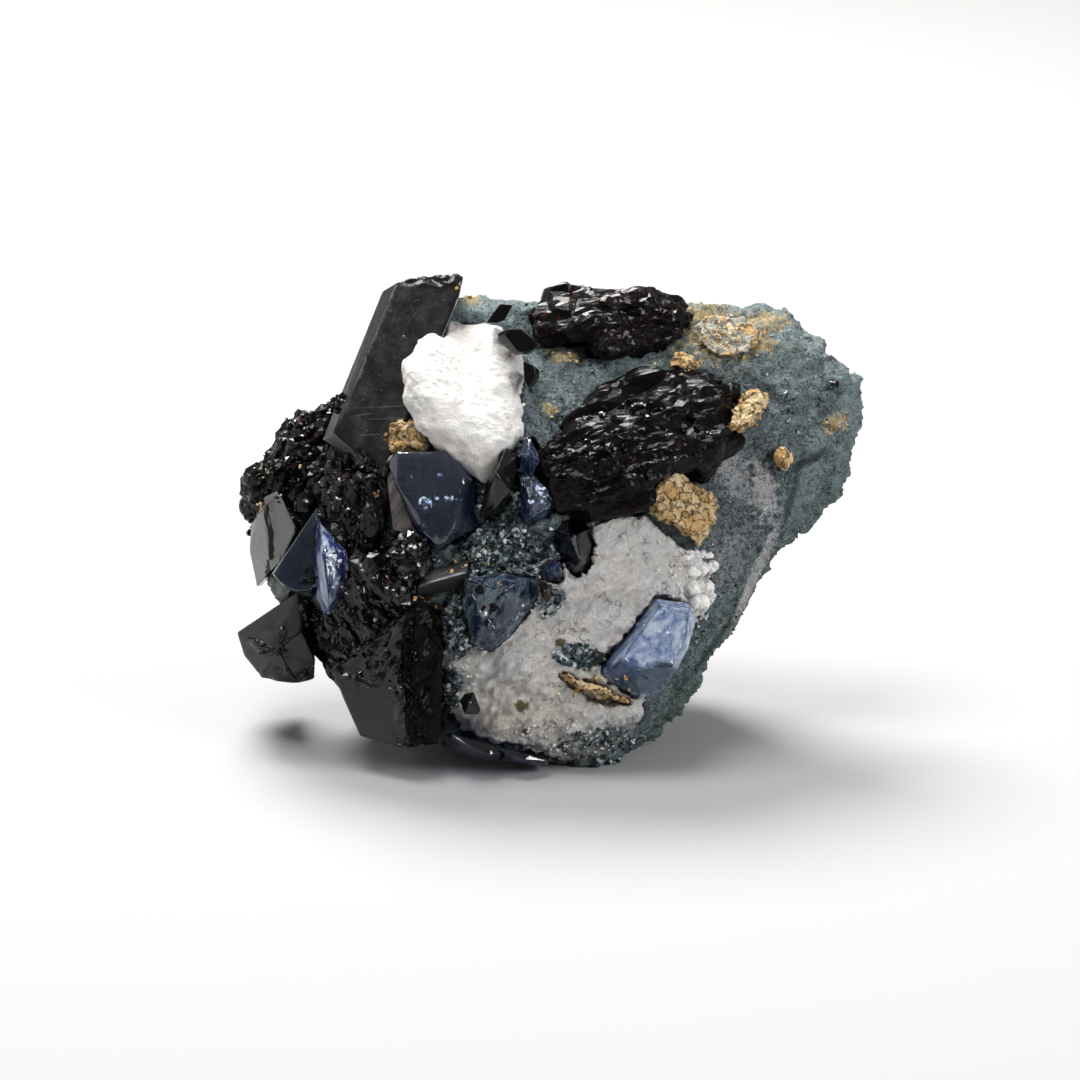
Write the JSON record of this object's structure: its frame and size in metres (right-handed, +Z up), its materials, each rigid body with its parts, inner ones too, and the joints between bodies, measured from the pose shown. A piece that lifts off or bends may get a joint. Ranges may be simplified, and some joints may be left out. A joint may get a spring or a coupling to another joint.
{
  "type": "benitoite and neptunite crystal specimen on natrolite and rock matrix",
  "caption": "Mineral specimen that stands on a flat underside: dark prisms and rough masses and blue crystals on white crusts over a grey-green block of rock.",
  "frame": {"origin": "the middle of the specimen's footprint, on the level that it stands on", "axes": "+Z up, +X to the right as the crystal side is seen, -Y towards the viewer: the crystal side leans back from -Y"},
  "size_m": [0.0702, 0.0424, 0.0507],
  "materials": {
    "rock": "matte",
    "natrolite": "matte",
    "neptunite": "gloss",
    "benitoite": "polished",
    "smoky": "satin",
    "ochre": "matte"
  },
  "bodies": {
    "root": {"matrix": "rock", "natrolite_upper": "natrolite", "natrolite_lower": "natrolite", "neptunite_prism": "neptunite", "neptunite_left_plate": "neptunite", "neptunite_lower_left": "neptunite", "neptunite_lower_block": "neptunite", "neptunite_top": "neptunite", "neptunite_centre": "neptunite", "neptunite_left_mass": "neptunite", "neptunite_left_edge": "neptunite", "neptunite_lower_mass": "neptunite", "neptunite_knob": "neptunite", "neptunite_chip_top": "neptunite", "neptunite_chip_upper": "neptunite", "neptunite_chip_middle": "neptunite", "neptunite_spike": "neptunite", "neptunite_twin_prism": "neptunite", "neptunite_chip_lower": "neptunite", "neptunite_chip_field": "neptunite", "benitoite_blade": "benitoite", "benitoite_upper": "benitoite", "benitoite_left": "benitoite", "benitoite_left_pale": "benitoite", "benitoite_deep_blue": "benitoite", "benitoite_small": "benitoite", "benitoite_rough": "benitoite", "benitoite_lower_right": "benitoite", "benitoite_base_left": "benitoite", "benitoite_base_right": "benitoite", "smoky_plate": "smoky", "ochre_plate": "ochre", "ochre_clod": "ochre", "ochre_top": "ochre", "ochre_top_small": "ochre", "ochre_spot": "ochre", "ochre_band": "ochre", "ochre_patch": "ochre"}
  },
  "joints": []
}
